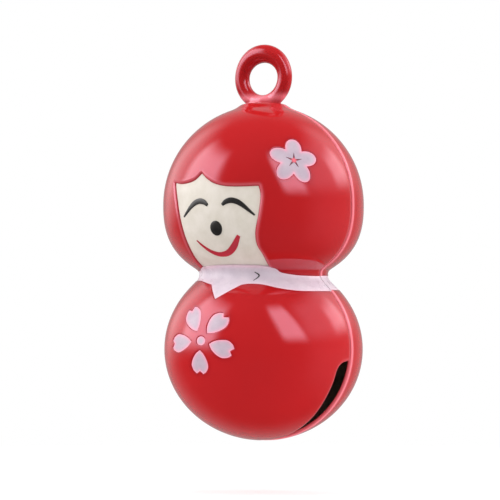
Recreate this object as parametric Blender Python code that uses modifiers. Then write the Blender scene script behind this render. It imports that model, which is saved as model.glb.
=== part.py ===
"""A kokeshi doll jingle bell charm.

Two pressed brass half shells, front and back, meet on a vertical seam and make a hollow doll: a round
head above an oblate ball. A cast loop is riveted into the crown, solder runs along the inside of the
seam, and a steel pellet rolls in the ball above the sound slot. The front half is notched along the
lower ball, and the slot is the space between that notch and the plain rim of the back half. The face,
the collar and the flowers are thin enamel fills in shallow cells pressed into the shells.

The origin is the middle of the loop's hole. +Z is up, the doll faces -Y and its left hand is at +X.
"""

import math

import bmesh
import bpy
from mathutils import Vector

MM = 0.001

# Driving dimensions, in millimetres. Heights are measured from the middle of the loop's hole.
BALL_CENTRE_Z = -20.55
BALL_RADIUS = 7.5
BALL_HALF_HEIGHT = 6.9
HEAD_CENTRE_Z = -9.65
HEAD_RADIUS = 7.6
HEAD_RISE = 7.56
HEAD_DROP = 5.8
HEAD_UNDERSIDE_SQUARENESS = 2.5
NECK_RADIUS = 4.85
NECK_BLEND = 0.3

WALL = 0.45
SEAM_GAP = 0.08

LOOP_RADIUS = 1.85
LOOP_WIRE = 0.56
LOOP_WIRE_AT_TOP = 0.70
FOOT_HALF_LENGTH = 1.65
FOOT_HALF_WIDTH = 0.85
FOOT_TOP_Z = -1.45
FOOT_BOTTOM_Z = -2.3
FOOT_EDGE = 0.15
TENON_RADIUS = 0.6
RIVET_RADIUS = 1.0
RIVET_TOP_Z = -2.65
RIVET_BOTTOM_Z = -3.05
JOIN_OVERLAP = 0.15
FIT_GAP = 0.06

# The slot's near edge is plane for most of its height, and comes closer to the seam underneath.
SLOT_NEAR_EDGE_Y = -1.5
SLOT_NEAR_EDGE_Y_BELOW = -0.6
SLOT_TOP_Z = BALL_CENTRE_Z - 0.9
SLOT_NARROWS_BELOW_Z = BALL_CENTRE_Z - 3.2
SLOT_NARROWING_STEPS = 8
SLOT_CORNER = 0.7

PELLET_RADIUS = 2.2
PELLET_CLEARANCE = 0.1

SOLDER_RADIUS = 0.2
SOLDER_GAP = 0.06

# Depths below the outer surface of the shells.
FILL_TOP = 0.03
FILL_BOTTOM = 0.12
CELL_DEPTH = 0.15
MARK_TOP = 0.06
MARK_BOTTOM = 0.12
FACE_TOP = 0.15
FACE_BOTTOM = 0.27
FACE_CELL_DEPTH = 0.30
CELL_SIDE_GAP = 0.05

# The eyes, nose and mouth sit a little to the doll's left of the middle.
MARKS_X = 0.10

# Where the two flowers sit: height of their middle on the axis, azimuth and elevation.
HAIR_FLOWER_PLACE = {"height": HEAD_CENTRE_Z, "azimuth": math.radians(48.2), "elevation": math.radians(23)}
HAIR_FLOWER_TURN = math.radians(7)
ROBE_FLOWER_PLACE = {"height": BALL_CENTRE_Z, "azimuth": math.radians(-8.7), "elevation": math.radians(5)}

# The drawn cherry flower is a little wider than high, and its petals are not all alike.
ROBE_FLOWER_STRETCH = (1.10, 0.93)
PETAL_TURNS = [math.radians(turn) for turn in (52, 119, 184, 265, 341)]
PETAL_LENGTHS = [0.95, 1.09, 1.08, 0.93, 0.92]
FLOWER_CENTRE_RADIUS = 0.33

SIDES = 40
INNER_SIDES = 32
MERIDIAN_STEPS = 40
INNER_MERIDIAN_STEPS = 28
CUT_REACH = 9.0

RED_ENAMEL = ((0.62, 0.012, 0.02), 0.12, 0.3)
LOOP_RED = ((0.60, 0.012, 0.02), 0.15, 0.4)
CREAM_ENAMEL = ((0.75, 0.68, 0.56), 0.35, 0.0)
BLOSSOM_ENAMEL = ((0.80, 0.66, 0.76), 0.3, 0.0)
BLACK_PAINT = ((0.02, 0.02, 0.02), 0.35, 0.0)
CRIMSON_PAINT = ((0.60, 0.01, 0.04), 0.3, 0.0)
STEEL = ((0.55, 0.55, 0.56), 0.3, 1.0)
SOLDER = ((0.60, 0.60, 0.62), 0.45, 1.0)


def clear_scene():
    for obj in list(bpy.data.objects):
        bpy.data.objects.remove(obj)


def new_collection(name):
    collection = bpy.data.collections.new(name)
    bpy.context.scene.collection.children.link(collection)
    return collection


def new_material(name, look):
    colour, roughness, metallic = look
    material = bpy.data.materials.new(name)
    material.use_nodes = True
    shader = material.node_tree.nodes["Principled BSDF"]
    shader.inputs["Base Color"].default_value = (*colour, 1.0)
    shader.inputs["Roughness"].default_value = roughness
    shader.inputs["Metallic"].default_value = metallic
    material.diffuse_color = (*colour, 1.0)
    return material


# ---- The turned shape of the doll ----


def smooth_max(a, b):
    """The larger of two radii, with a small fillet where they are equal."""
    return (a + b + math.sqrt((a - b) ** 2 + NECK_BLEND**2)) / 2


def ball_radius(z):
    share = (z - BALL_CENTRE_Z) / BALL_HALF_HEIGHT
    return BALL_RADIUS * math.sqrt(max(0.0, 1 - share**2))


def head_radius(z):
    height = z - HEAD_CENTRE_Z
    if height >= 0:
        return HEAD_RADIUS * math.sqrt(max(0.0, 1 - (height / HEAD_RISE) ** 2))
    share = min(1.0, -height / HEAD_DROP) ** HEAD_UNDERSIDE_SQUARENESS
    return HEAD_RADIUS * (1 - share) ** (1 / HEAD_UNDERSIDE_SQUARENESS)


def doll_radius(z):
    if z <= BALL_CENTRE_Z:
        return ball_radius(z)
    if z >= HEAD_CENTRE_Z:
        return head_radius(z)
    larger = max(ball_radius(z), head_radius(z))
    # The fillet is only felt near the neck, so the ball and the head keep their full radius.
    return max(larger, smooth_max(larger, NECK_RADIUS))


def fine_meridian():
    """Points from the crown to the bottom of the ball, close together."""
    points = []
    quarter = [math.pi / 2 * i / 120 for i in range(121)]
    for angle in quarter:
        z = HEAD_CENTRE_Z + HEAD_RISE * math.cos(angle)
        points.append((head_radius(z), z))
    between = 400
    for i in range(1, between):
        z = HEAD_CENTRE_Z + (BALL_CENTRE_Z - HEAD_CENTRE_Z) * i / between
        points.append((doll_radius(z), z))
    for angle in quarter:
        z = BALL_CENTRE_Z - BALL_HALF_HEIGHT * math.sin(angle)
        points.append((ball_radius(z), z))
    points[0] = (0.0, HEAD_CENTRE_Z + HEAD_RISE)
    points[-1] = (0.0, BALL_CENTRE_Z - BALL_HALF_HEIGHT)
    return [Vector(point) for point in points]


def meridian(depth, steps):
    """The outer surface moved inwards by depth, as steps + 1 points that crowd together at the neck."""
    fine = fine_meridian()
    normals = []
    for i, point in enumerate(fine):
        along = fine[min(i + 1, len(fine) - 1)] - fine[max(i - 1, 0)]
        normals.append(Vector((-along.y, along.x)).normalized())
    normals[0] = Vector((0.0, 1.0))
    normals[-1] = Vector((0.0, -1.0))
    turn_weight = 1.6
    travelled = [0.0]
    for i in range(1, len(fine)):
        turned = normals[i].angle(normals[i - 1])
        travelled.append(travelled[-1] + (fine[i] - fine[i - 1]).length + turn_weight * turned)
    points = []
    at = 0
    for step in range(steps + 1):
        target = travelled[-1] * step / steps
        while travelled[at] < target - 1e-9:
            at += 1
        points.append(fine[at] - normals[at] * depth)
    points[0].x = 0.0
    points[-1].x = 0.0
    return points


def turned_solid(name, depth, collection, sides=SIDES, steps=MERIDIAN_STEPS):
    mesh = bpy.data.meshes.new(name)
    points = [(p.x * MM, 0.0, p.y * MM) for p in meridian(depth, steps)]
    mesh.from_pydata(points, [(i, i + 1) for i in range(len(points) - 1)], [])
    solid = bpy.data.objects.new(name, mesh)
    collection.objects.link(solid)
    screw = solid.modifiers.new("Turn", "SCREW")
    screw.axis = "Z"
    screw.steps = sides
    screw.render_steps = sides
    screw.use_merge_vertices = True
    screw.merge_threshold = 0.000001
    return solid


# ---- Flat outlines, in millimetres ----


def smooth_run(keys, steps):
    """A smooth line through the key points, without the last one."""
    points = []
    for i in range(len(keys) - 1):
        before = Vector(keys[max(i - 1, 0)])
        start = Vector(keys[i])
        end = Vector(keys[i + 1])
        after = Vector(keys[min(i + 2, len(keys) - 1)])
        for step in range(steps):
            t = step / steps
            pull_in = (end - before) / 2
            pull_out = (after - start) / 2
            point = (
                start * (2 * t**3 - 3 * t**2 + 1)
                + pull_in * (t**3 - 2 * t**2 + t)
                + end * (3 * t**2 - 2 * t**3)
                + pull_out * (t**3 - t**2)
            )
            points.append((point.x, point.y))
    return points


def closed_outline(runs, steps=3):
    """Smooth runs joined at sharp corners: each run starts where the one before it ended."""
    points = []
    for i, run in enumerate(runs):
        following = runs[(i + 1) % len(runs)][0]
        points += smooth_run([*run, following], steps)
    return points


def grown(outline, distance):
    """The outline moved outwards by a distance."""
    area = sum(
        a[0] * b[1] - b[0] * a[1] for a, b in zip(outline, outline[1:] + outline[:1], strict=True)
    )
    side = 1 if area > 0 else -1
    moved = []
    for i, point in enumerate(outline):
        here = Vector(point)
        arriving = (here - Vector(outline[i - 1])).normalized()
        leaving = (Vector(outline[(i + 1) % len(outline)]) - here).normalized()
        normal = Vector((arriving.y + leaving.y, -arriving.x - leaving.x)).normalized()
        stretch = max(0.5, normal.dot(Vector((arriving.y, -arriving.x))))
        moved.append(tuple(here + normal * (side * distance / stretch)))
    return moved


def tapered_stroke(keys, widths, steps=4):
    """A brush stroke along the key points, with a full width at each of them and pointed ends."""
    line = [*smooth_run(keys, steps), keys[-1]]
    thick = [*(w for w, _ in smooth_run([(w, 0.0) for w in widths], steps)), widths[-1]]
    one_side = []
    other_side = []
    for i, point in enumerate(line):
        along = Vector(line[min(i + 1, len(line) - 1)]) - Vector(line[max(i - 1, 0)])
        across = Vector((-along.y, along.x)).normalized() * thick[i] / 2
        one_side.append((point[0] + across.x, point[1] + across.y))
        other_side.append((point[0] - across.x, point[1] - across.y))
    return one_side + other_side[::-1]


def ellipse(centre, half_width, half_height, count=16):
    angles = [2 * math.pi * i / count for i in range(count)]
    return [
        (centre[0] + half_width * math.cos(a), centre[1] + half_height * math.sin(a)) for a in angles
    ]


def prism(name, outlines, near, far, collection, height=0.0, azimuth=0.0, elevation=0.0):
    """The outlines extruded outwards from the doll's axis, from near to far in millimetres.

    An outline inside another one is a hole. The middle of the outlines is at the given height on the
    axis, azimuth turns them from the front towards the doll's left, and elevation tips them upwards.
    """
    curve = bpy.data.curves.new(name, "CURVE")
    curve.dimensions = "2D"
    curve.fill_mode = "BOTH"
    curve.extrude = (far - near) / 2 * MM
    for outline in outlines:
        spline = curve.splines.new("POLY")
        spline.points.add(len(outline) - 1)
        for point, (x, y) in zip(spline.points, outline, strict=True):
            point.co = (x * MM, y * MM, 0.0, 1.0)
        spline.use_cyclic_u = True
    guide = bpy.data.objects.new(name + "_guide", curve)
    collection.objects.link(guide)
    guide.rotation_euler = (math.pi / 2 - elevation, 0.0, azimuth)
    outwards = Vector((
        math.sin(azimuth) * math.cos(elevation),
        -math.cos(azimuth) * math.cos(elevation),
        math.sin(elevation),
    ))
    guide.location = outwards * ((near + far) / 2 * MM) + Vector((0.0, 0.0, height * MM))
    return mesh_from(guide, name, collection)


def mesh_from(guide, name, collection):
    """A curve as a welded mesh object in the same place."""
    bpy.context.view_layer.update()
    graph = bpy.context.evaluated_depsgraph_get()
    mesh = bpy.data.meshes.new_from_object(guide.evaluated_get(graph))
    mesh.name = name
    solid = bpy.data.objects.new(name, mesh)
    collection.objects.link(solid)
    solid.matrix_world = guide.matrix_world.copy()
    bpy.data.objects.remove(guide)
    shape = bmesh.new()
    shape.from_mesh(mesh)
    bmesh.ops.remove_doubles(shape, verts=shape.verts, dist=0.0000005)
    bmesh.ops.recalc_face_normals(shape, faces=shape.faces)
    shape.to_mesh(mesh)
    shape.free()
    return solid


def box(name, low, high, collection):
    mesh = bpy.data.meshes.new(name)
    shape = bmesh.new()
    bmesh.ops.create_cube(shape, size=1.0)
    size = Vector(high) - Vector(low)
    bmesh.ops.scale(shape, vec=size * MM, verts=shape.verts)
    shape.to_mesh(mesh)
    shape.free()
    solid = bpy.data.objects.new(name, mesh)
    solid.location = (Vector(low) + Vector(high)) / 2 * MM
    collection.objects.link(solid)
    return solid


def upright_cylinder(name, radius, top, bottom, collection, width_share=1.0, sides=24):
    """A cylinder on the axis, with its width along Y a share of its length along X."""
    mesh = bpy.data.meshes.new(name)
    shape = bmesh.new()
    bmesh.ops.create_cone(
        shape,
        cap_ends=True,
        segments=sides,
        radius1=radius * MM,
        radius2=radius * MM,
        depth=(top - bottom) * MM,
    )
    bmesh.ops.scale(shape, vec=(1.0, width_share, 1.0), verts=shape.verts)
    shape.to_mesh(mesh)
    shape.free()
    solid = bpy.data.objects.new(name, mesh)
    solid.location = (0.0, 0.0, (top + bottom) / 2 * MM)
    collection.objects.link(solid)
    return solid


def combine(target, other, operation):
    modifier = target.modifiers.new(f"{operation.title()} {other.name}", "BOOLEAN")
    modifier.operation = operation
    modifier.object = other
    modifier.solver = "EXACT"


def as_cutter(obj):
    obj.hide_render = True
    obj.display_type = "WIRE"
    return obj


def finish(obj, material):
    obj.data.materials.clear()
    obj.data.materials.append(material)
    obj.data.shade_smooth()
    obj.data.set_sharp_from_angle(angle=math.radians(35))


# ---- The outlines of the enamel ----


def from_head(points):
    """Points given from the middle of the head, as heights from the loop's hole."""
    return [(x, y + HEAD_CENTRE_Z) for x, y in points]


def from_ball(points):
    return [(x, y + BALL_CENTRE_Z) for x, y in points]


def face_outline():
    fringe_left = [(-4.05, 1.45), (-3.3, 1.34), (-2.4, 1.40), (-1.75, 1.60)]
    fringe_peak = [(-1.22, 2.04), (-0.75, 1.66), (-0.05, 1.28), (0.9, 1.04), (2.1, 0.98)]
    left_cheek = [(3.35, 1.02), (3.5, 0.3), (3.35, -1.0), (2.98, -2.4), (2.86, -3.4), (2.95, -4.1)]
    chin = [(2.75, -4.72), (1.4, -4.74), (0.0, -4.74), (-1.4, -4.74)]
    right_cheek = [(-2.75, -4.72), (-2.9, -4.3), (-2.96, -3.4), (-3.14, -2.3), (-3.4, -1.0), (-3.7, 0.3)]
    return closed_outline([fringe_left, fringe_peak, left_cheek, chin, right_cheek])


def collar_outline():
    side = 6.6
    top_left = [(-side, 5.78), (-4.7, 5.78), (-4.0, 5.8), (-3.4, 5.86)]
    top_front = [(-2.8, 6.0), (0.0, 6.0)]
    top_right = [(2.8, 6.0), (3.4, 5.66), (4.0, 5.5), (4.7, 5.42)]
    edge = [(side, 5.42)]
    below_left = [(side, 4.45), (5.3, 4.38), (4.5, 4.44), (3.6, 4.62), (2.6, 4.86), (1.7, 4.92)]
    lapels = [(1.1, 4.84)]
    tip = [(-0.55, 3.8)]
    below_right = [(-1.5, 4.88), (-2.1, 5.0), (-2.8, 5.14), (-3.5, 5.22), (-4.3, 5.22)]
    far_edge = [(-side, 5.22)]
    runs = [top_left, top_front, top_right, edge, below_left, lapels, tip, below_right, far_edge]
    return closed_outline(runs)


def back_collar_outline():
    """Seen from behind: it joins the front collar's ends, which are higher on the doll's right."""
    side = 6.6
    return [(-side, 4.45), (side, 5.22), (side, 5.78), (-side, 5.42)]


def eye_outline(side):
    """A smiling eye, thick at the nose and fine at its outer end. side is 1 for the doll's left."""
    keys = [(0.62, -0.33), (0.95, -0.08), (1.45, 0.0), (2.1, -0.28), (3.05, -1.12)]
    widths = [0.22, 0.38, 0.42, 0.36, 0.12]
    return [(MARKS_X + side * x, y) for x, y in tapered_stroke(keys, widths)]


def mouth_outline():
    falling = [(-2.05, -2.92), (-1.6, -3.45), (-1.0, -3.9)]
    rising = [(-0.3, -4.08), (0.5, -3.8), (1.14, -3.22), (1.74, -2.62)]
    widths = [0.10, 0.20, 0.28, 0.34, 0.40, 0.44, 0.26]
    return [(MARKS_X + x, y) for x, y in tapered_stroke(falling + rising, widths)]


def nose_outline():
    return ellipse((MARKS_X, -2.05), 0.50, 0.56)


def around_flower(radii):
    """Points at the given distances from the middle of the hair flower, evenly round it."""
    points = []
    for i, radius in enumerate(radii):
        angle = HAIR_FLOWER_TURN + 2 * math.pi * i / len(radii)
        points.append((radius * math.sin(angle), radius * math.cos(angle)))
    return points


def plum_outline(count=50):
    """Five round lobes."""
    waves = [abs(math.cos(5 * math.pi * i / count)) ** 1.1 for i in range(count)]
    return around_flower([1.0 + 0.83 * wave for wave in waves])


def stamen_star(tip=0.62, waist=0.17):
    return around_flower([tip, waist] * 5)


def petal_outline(turn, length):
    """One cherry petal that points away from the middle of its flower, with a notch in its end."""
    one_side = [(0.84, 0.0), (1.15, 0.32), (1.65, 0.59), (2.15, 0.69), (2.55, 0.52)]
    notch = [(2.74, 0.28)]
    notch_root = [(2.52, 0.0)]
    other_end = [(2.74, -0.28), (2.55, -0.52), (2.15, -0.69), (1.65, -0.59), (1.15, -0.32)]
    outline = closed_outline([one_side, notch, notch_root, other_end])
    cosine, sine = math.cos(turn), math.sin(turn)
    wide, high = ROBE_FLOWER_STRETCH
    return [
        (wide * (length * x * cosine - y * sine), high * (length * x * sine + y * cosine))
        for x, y in outline
    ]


# ---- The pieces ----


def make_skins(cutters):
    """Solids inside the doll's surface, one for each depth that bounds a fill or a cell."""
    depths = {0.0, FILL_TOP, FILL_BOTTOM, CELL_DEPTH, MARK_TOP, MARK_BOTTOM}
    depths |= {FACE_TOP, FACE_BOTTOM, FACE_CELL_DEPTH}
    skins = {}
    for depth in sorted(depths):
        name = f"skin_{round(depth * 100):02d}"
        skins[depth] = as_cutter(turned_solid(name, depth, cutters))
    return skins


def make_cell(name, outline, skins, depth, cutters, **place):
    """The space of a shallow cell in the shell: a prism down to a skin of the given depth."""
    cell = prism(name, [grown(outline, CELL_SIDE_GAP)], 0.02, CUT_REACH, cutters, **place)
    combine(cell, skins[depth], "DIFFERENCE")
    return as_cutter(cell)


def make_fill(name, outlines, skins, top, bottom, material, parts, near=0.1, **place):
    """A layer of enamel between two skins."""
    fill = prism(name, outlines, near, CUT_REACH, parts, **place)
    combine(fill, skins[top], "INTERSECT")
    combine(fill, skins[bottom], "DIFFERENCE")
    finish(fill, material)
    return fill


def slot_near_edge(share):
    """A point of the slot's near edge, from where it begins to narrow to the bottom of the ball."""
    bottom = BALL_CENTRE_Z - BALL_HALF_HEIGHT
    y = SLOT_NEAR_EDGE_Y + (SLOT_NEAR_EDGE_Y_BELOW - SLOT_NEAR_EDGE_Y) * share**1.6
    return y, SLOT_NARROWS_BELOW_Z + (bottom - SLOT_NARROWS_BELOW_Z) * share


def make_shells(parts, cutters, skins, red):
    half_gap = SEAM_GAP / 2
    lowest = BALL_CENTRE_Z - BALL_HALF_HEIGHT - 1
    hollow = as_cutter(
        turned_solid("hollow", WALL, cutters, sides=INNER_SIDES, steps=INNER_MERIDIAN_STEPS)
    )
    reach = CUT_REACH
    behind = as_cutter(box("behind", (-reach, -half_gap, lowest), (reach, reach, 0.0), cutters))
    before = as_cutter(box("before", (-reach, -reach, lowest), (reach, half_gap, 0.0), cutters))
    corner = [
        (SLOT_NEAR_EDGE_Y + SLOT_CORNER * (1 - math.cos(a)), SLOT_TOP_Z - SLOT_CORNER * (1 - math.sin(a)))
        for a in (math.pi / 2 * i / 5 for i in range(6))
    ]
    narrowing = [slot_near_edge(i / SLOT_NARROWING_STEPS) for i in range(SLOT_NARROWING_STEPS, -1, -1)]
    notch_outline = [
        (SLOT_NEAR_EDGE_Y_BELOW, lowest), *narrowing, *corner, (1.0, SLOT_TOP_Z), (1.0, lowest)
    ]
    notch = as_cutter(prism("notch", [notch_outline], -reach, reach, cutters, azimuth=math.pi / 2))
    seat = as_cutter(
        upright_cylinder(
            "seat",
            FOOT_HALF_LENGTH + FIT_GAP,
            0.0,
            FOOT_BOTTOM_Z - FIT_GAP,
            cutters,
            width_share=(FOOT_HALF_WIDTH + FIT_GAP) / (FOOT_HALF_LENGTH + FIT_GAP),
        )
    )
    tenon_hole = as_cutter(
        upright_cylinder("tenon_hole", TENON_RADIUS + FIT_GAP, 0.0, RIVET_BOTTOM_Z - 1, cutters)
    )

    front = turned_solid("front_shell", 0.0, parts)
    back = turned_solid("back_shell", 0.0, parts)
    for shell, half in ((front, behind), (back, before)):
        combine(shell, hollow, "DIFFERENCE")
        combine(shell, half, "DIFFERENCE")
        combine(shell, seat, "DIFFERENCE")
        combine(shell, tenon_hole, "DIFFERENCE")
    combine(front, notch, "DIFFERENCE")
    finish(front, red)
    finish(back, red)
    return front, back


def make_loop(parts, cutters, red):
    """The ring, a foot that sits in the crown, and a tenon riveted over on the inside."""
    curve = bpy.data.curves.new("ring", "CURVE")
    curve.dimensions = "3D"
    curve.bevel_depth = LOOP_WIRE * MM
    curve.bevel_resolution = 2
    spline = curve.splines.new("POLY")
    count = 28
    spline.points.add(count - 1)
    for i, point in enumerate(spline.points):
        angle = 2 * math.pi * i / count
        point.co = (LOOP_RADIUS * math.sin(angle) * MM, 0.0, LOOP_RADIUS * math.cos(angle) * MM, 1.0)
        rise = max(0.0, math.cos(angle)) ** 2
        point.radius = 1 + (LOOP_WIRE_AT_TOP / LOOP_WIRE - 1) * rise
    spline.use_cyclic_u = True
    ring = bpy.data.objects.new("ring_guide", curve)
    cutters.objects.link(ring)
    loop = mesh_from(ring, "hanging_loop", parts)

    foot = upright_cylinder(
        "foot",
        FOOT_HALF_LENGTH,
        FOOT_TOP_Z,
        FOOT_BOTTOM_Z,
        cutters,
        width_share=FOOT_HALF_WIDTH / FOOT_HALF_LENGTH,
    )
    round_edge = foot.modifiers.new("Round edge", "BEVEL")
    round_edge.width = FOOT_EDGE * MM
    round_edge.segments = 2
    round_edge.limit_method = "ANGLE"
    tenon_top = FOOT_BOTTOM_Z + JOIN_OVERLAP
    tenon = upright_cylinder("tenon", TENON_RADIUS, tenon_top, RIVET_TOP_Z - JOIN_OVERLAP, cutters)
    rivet = upright_cylinder("rivet", RIVET_RADIUS, RIVET_TOP_Z, RIVET_BOTTOM_Z, cutters)
    for piece in (foot, tenon, rivet):
        combine(loop, as_cutter(piece), "UNION")
    finish(loop, red)
    return loop


def make_solder(name, side, parts, solder):
    """A bead along the inside of the seam, from the end of the slot up to the rivet of the loop."""
    inside = meridian(WALL + SOLDER_GAP + SOLDER_RADIUS, 60)
    path = [p for p in inside if p.y > SLOT_TOP_Z + SOLDER_GAP and p.x > RIVET_RADIUS + 0.4][::2]
    curve = bpy.data.curves.new(name, "CURVE")
    curve.dimensions = "3D"
    curve.bevel_depth = SOLDER_RADIUS * MM
    curve.bevel_resolution = 1
    curve.use_fill_caps = True
    spline = curve.splines.new("POLY")
    spline.points.add(len(path) - 1)
    for point, place in zip(spline.points, path, strict=True):
        point.co = (side * place.x * MM, 0.0, place.y * MM, 1.0)
    guide = bpy.data.objects.new(name + "_guide", curve)
    parts.objects.link(guide)
    finish(mesh_from(guide, name, parts), solder)


def make_pellet(parts, steel):
    """The steel ball, on an empty at the middle of the ball about which it rolls."""
    pivot = bpy.data.objects.new("pellet_pivot", None)
    pivot.location = (0.0, 0.0, BALL_CENTRE_Z * MM)
    parts.objects.link(pivot)
    mesh = bpy.data.meshes.new("rattle_pellet")
    shape = bmesh.new()
    bmesh.ops.create_uvsphere(shape, u_segments=20, v_segments=12, radius=PELLET_RADIUS * MM)
    shape.to_mesh(mesh)
    shape.free()
    pellet = bpy.data.objects.new("rattle_pellet", mesh)
    parts.objects.link(pellet)
    pellet.parent = pivot
    arm = BALL_HALF_HEIGHT - WALL - PELLET_RADIUS - PELLET_CLEARANCE
    pellet.location = (0.0, SLOT_NEAR_EDGE_Y / 2 * MM, -arm * MM)
    finish(pellet, steel)


def main():
    clear_scene()
    parts = new_collection("kokeshi_bell")
    cutters = new_collection("cutters")
    skins = make_skins(cutters)

    red = new_material("red_enamel", RED_ENAMEL)
    cream = new_material("cream_enamel", CREAM_ENAMEL)
    blossom = new_material("blossom_enamel", BLOSSOM_ENAMEL)
    black = new_material("black_paint", BLACK_PAINT)

    front, back = make_shells(parts, cutters, skins, red)
    make_loop(parts, cutters, new_material("loop_enamel", LOOP_RED))
    make_pellet(parts, new_material("steel", STEEL))
    solder = new_material("solder", SOLDER)
    make_solder("seam_solder_left", 1, parts, solder)
    make_solder("seam_solder_right", -1, parts, solder)

    face = from_head(face_outline())
    combine(front, make_cell("face_cell", face, skins, FACE_CELL_DEPTH, cutters), "DIFFERENCE")
    make_fill("face_enamel", [face], skins, FACE_TOP, FACE_BOTTOM, cream, parts)

    collar = from_ball(collar_outline())
    combine(front, make_cell("collar_cell", collar, skins, CELL_DEPTH, cutters), "DIFFERENCE")
    make_fill("collar_enamel_front", [collar], skins, FILL_TOP, FILL_BOTTOM, blossom, parts)

    behind = {"azimuth": math.pi}
    collar = from_ball(back_collar_outline())
    cell = make_cell("back_collar_cell", collar, skins, CELL_DEPTH, cutters, **behind)
    combine(back, cell, "DIFFERENCE")
    make_fill("collar_enamel_back", [collar], skins, FILL_TOP, FILL_BOTTOM, blossom, parts, **behind)

    marks = {
        "left_eye_enamel": (eye_outline(1), black),
        "right_eye_enamel": (eye_outline(-1), black),
        "nose_enamel": (nose_outline(), black),
        "mouth_enamel": (mouth_outline(), new_material("crimson_paint", CRIMSON_PAINT)),
    }
    for name, (outline, material) in marks.items():
        make_fill(name, [from_head(outline)], skins, MARK_TOP, MARK_BOTTOM, material, parts)

    flower = plum_outline()
    cell = make_cell("hair_flower_cell", flower, skins, CELL_DEPTH, cutters, **HAIR_FLOWER_PLACE)
    combine(front, cell, "DIFFERENCE")
    make_fill(
        "hair_flower_enamel",
        [flower, stamen_star()],
        skins,
        FILL_TOP,
        FILL_BOTTOM,
        blossom,
        parts,
        **HAIR_FLOWER_PLACE,
    )

    wide, high = (FLOWER_CENTRE_RADIUS * stretch for stretch in ROBE_FLOWER_STRETCH)
    robe_pieces = {"robe_flower_centre": ellipse((0.0, 0.0), wide, high, count=12)}
    for number, (turn, length) in enumerate(zip(PETAL_TURNS, PETAL_LENGTHS, strict=True), start=1):
        robe_pieces[f"robe_flower_petal_{number}"] = petal_outline(turn, length)
    for name, outline in robe_pieces.items():
        cell = make_cell(name + "_cell", outline, skins, CELL_DEPTH, cutters, **ROBE_FLOWER_PLACE)
        combine(front, cell, "DIFFERENCE")
        make_fill(name, [outline], skins, FILL_TOP, FILL_BOTTOM, blossom, parts, **ROBE_FLOWER_PLACE)


main()
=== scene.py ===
import math

import bpy
import numpy as np
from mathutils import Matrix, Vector


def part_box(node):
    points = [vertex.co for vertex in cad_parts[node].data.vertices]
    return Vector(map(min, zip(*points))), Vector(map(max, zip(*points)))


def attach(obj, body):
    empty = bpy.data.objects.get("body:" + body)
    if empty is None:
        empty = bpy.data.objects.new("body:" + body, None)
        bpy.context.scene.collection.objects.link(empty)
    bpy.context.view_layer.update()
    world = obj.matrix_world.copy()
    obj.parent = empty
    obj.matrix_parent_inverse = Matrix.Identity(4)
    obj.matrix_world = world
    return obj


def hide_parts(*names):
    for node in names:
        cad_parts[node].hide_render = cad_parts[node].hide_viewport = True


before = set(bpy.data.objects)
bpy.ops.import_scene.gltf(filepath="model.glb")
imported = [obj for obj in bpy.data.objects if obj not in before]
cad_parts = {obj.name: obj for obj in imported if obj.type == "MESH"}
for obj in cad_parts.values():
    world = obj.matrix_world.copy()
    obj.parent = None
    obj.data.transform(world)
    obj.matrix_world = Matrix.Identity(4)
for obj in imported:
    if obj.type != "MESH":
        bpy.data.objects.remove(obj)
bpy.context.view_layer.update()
mm = 0.001  # pieces are shaped in millimetres, and scaled to metres when they are done
print("frame loaded,", len(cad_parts), "nodes")


# ---- small helpers for working in edit mode ----

def freshStart():
    if bpy.context.mode != "OBJECT":
        bpy.ops.object.mode_set(mode="OBJECT")
    bpy.ops.object.select_all(action="DESELECT")


def activate(piece):
    freshStart()
    piece.select_set(True)
    bpy.context.view_layer.objects.active = piece


def named(name):
    piece = bpy.context.object
    piece.name = name
    piece.data.name = name
    return piece


def places(piece):
    flat = np.empty(len(piece.data.vertices) * 3)
    piece.data.vertices.foreach_get("co", flat)
    return flat.reshape(-1, 3)


def putPlaces(piece, xyz):
    piece.data.vertices.foreach_set("co", np.asarray(xyz, float).ravel())
    piece.data.update()


def faceMiddles(piece):
    flat = np.empty(len(piece.data.polygons) * 3)
    piece.data.polygons.foreach_get("center", flat)
    return flat.reshape(-1, 3)


def pickFaces(piece, wanted):
    activate(piece)
    bpy.ops.object.mode_set(mode="EDIT")
    bpy.ops.mesh.select_mode(type="FACE")
    bpy.ops.mesh.select_all(action="DESELECT")
    bpy.ops.object.mode_set(mode="OBJECT")
    piece.data.polygons.foreach_set("select", np.asarray(wanted, bool))
    bpy.ops.object.mode_set(mode="EDIT")


def applyAll(piece):
    activate(piece)
    for modifier in list(piece.modifiers):
        bpy.ops.object.modifier_apply(modifier=modifier.name)


def note(piece, label, values):
    # a number kept at every point, which a material can read
    kept = piece.data.attributes.get(label) or piece.data.attributes.new(label, "FLOAT", "POINT")
    kept.data.foreach_set("value", np.asarray(values, np.float32))


def finishPiece(piece, materials, body, replaced, smoothBelow=40):
    activate(piece)
    piece.scale = (mm, mm, mm)
    bpy.ops.object.transform_apply(location=True, rotation=True, scale=True)
    piece.data.materials.clear()
    for material in materials:
        piece.data.materials.append(material)
    bpy.ops.object.shade_smooth_by_angle(angle=math.radians(smoothBelow))
    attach(piece, body)
    if replaced:
        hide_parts(*replaced)
    return piece


# ---- the turned shape that every piece lies on ----

doll = {
    "ballRadius": 7.5,
    "ballHalfHeight": 6.9,
    "headAboveBall": 10.9,
    "headRadius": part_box("back_shell")[1].x / mm,
    "headRise": 7.56,
    "headDrop": 5.8,
    "undersideSquareness": 2.5,
    "neckRadius": 4.85,
    "neckBlend": 0.3,
    "neckReach": 1.2,
    "reach": 12.0,
    "halvings": 40,
}
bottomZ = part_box("back_shell")[0].z / mm
ballZ = bottomZ + doll["ballHalfHeight"]
headZ = ballZ + doll["headAboveBall"]
crownZ = headZ + doll["headRise"]


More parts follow.
